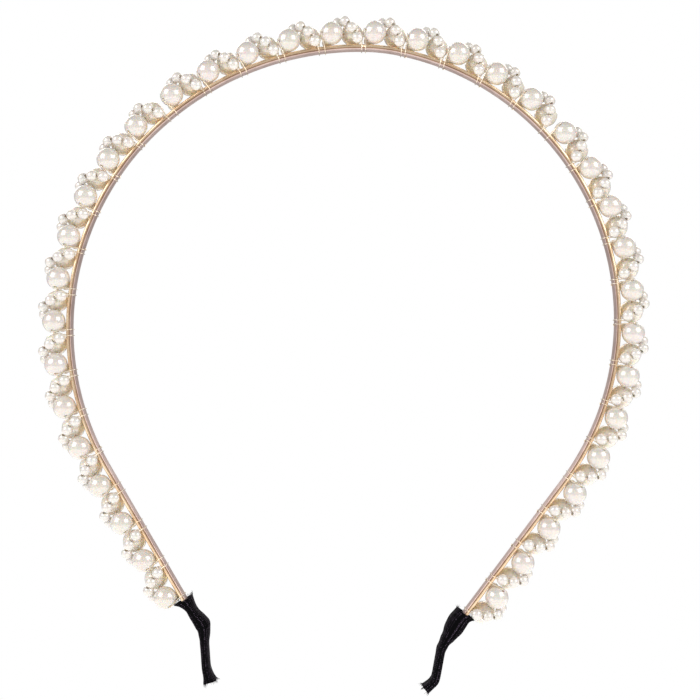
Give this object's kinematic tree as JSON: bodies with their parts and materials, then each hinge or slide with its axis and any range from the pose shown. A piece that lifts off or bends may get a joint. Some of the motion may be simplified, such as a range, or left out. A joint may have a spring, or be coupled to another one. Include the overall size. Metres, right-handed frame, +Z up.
{
  "type": "headband",
  "caption": "Slim springy metal headband with clusters of large and seed pearls wired along its outer face and a woven fabric sleeve over each tip.",
  "frame": {"origin": "middle of the head opening, 62.6 mm below the strip's inner face at the crown", "axes": "+Z up to the crown, +X towards the right-hand tip as seen from the front, +Y to the rear"},
  "size_m": [0.1422, 0.0088, 0.1572],
  "materials": {
    "rose_gold_strip": "polished edges, satin faces",
    "large_pearl": "pearlescent ivory",
    "seed_pearl": "pearlescent ivory",
    "gold_wire": "bright drawn",
    "black_fabric": "woven, slight sheen"
  },
  "bodies": {
    "crown": {"crown_strip": "rose_gold_strip", "crown_front_pearls": "large_pearl", "crown_rear_pearls": "large_pearl", "crown_binding_wires": "gold_wire", "left_seed_strand_01": "seed_pearl", "left_seed_strand_02": "seed_pearl", "left_seed_strand_03": "seed_pearl", "left_seed_strand_04": "seed_pearl", "left_seed_strand_05": "seed_pearl", "right_seed_strand_01": "seed_pearl", "right_seed_strand_02": "seed_pearl", "right_seed_strand_03": "seed_pearl", "right_seed_strand_04": "seed_pearl", "right_seed_strand_05": "seed_pearl"},
    "left_leg": {"left_strip": "rose_gold_strip", "left_front_pearls": "large_pearl", "left_rear_pearls": "large_pearl", "left_binding_wires": "gold_wire", "left_sleeve": "black_fabric", "left_seed_strand_06": "seed_pearl", "left_seed_strand_07": "seed_pearl", "left_seed_strand_08": "seed_pearl", "left_seed_strand_09": "seed_pearl", "left_seed_strand_10": "seed_pearl", "left_seed_strand_11": "seed_pearl", "left_seed_strand_12": "seed_pearl", "left_seed_strand_13": "seed_pearl", "left_seed_strand_14": "seed_pearl", "left_seed_strand_15": "seed_pearl", "left_seed_strand_16": "seed_pearl", "left_seed_strand_17": "seed_pearl", "left_seed_strand_18": "seed_pearl"},
    "right_leg": {"right_strip": "rose_gold_strip", "right_front_pearls": "large_pearl", "right_rear_pearls": "large_pearl", "right_binding_wires": "gold_wire", "right_sleeve": "black_fabric", "right_seed_strand_06": "seed_pearl", "right_seed_strand_07": "seed_pearl", "right_seed_strand_08": "seed_pearl", "right_seed_strand_09": "seed_pearl", "right_seed_strand_10": "seed_pearl", "right_seed_strand_11": "seed_pearl", "right_seed_strand_12": "seed_pearl", "right_seed_strand_13": "seed_pearl", "right_seed_strand_14": "seed_pearl", "right_seed_strand_15": "seed_pearl", "right_seed_strand_16": "seed_pearl", "right_seed_strand_17": "seed_pearl", "right_seed_strand_18": "seed_pearl"}
  },
  "joints": [
    {"name": "left_flex", "type": "hinge", "parent": "crown", "child": "left_leg", "pos_m": [-0.04132, 0, 0.04695], "axis": [0, 1, 0], "range_deg": [-4, 12], "stiffness_Nm_per_rad": 0.8},
    {"name": "right_flex", "type": "hinge", "parent": "crown", "child": "right_leg", "pos_m": [0.04574, 0, 0.04377], "axis": [0, -1, 0], "range_deg": [-4, 12], "stiffness_Nm_per_rad": 0.8}
  ]
}
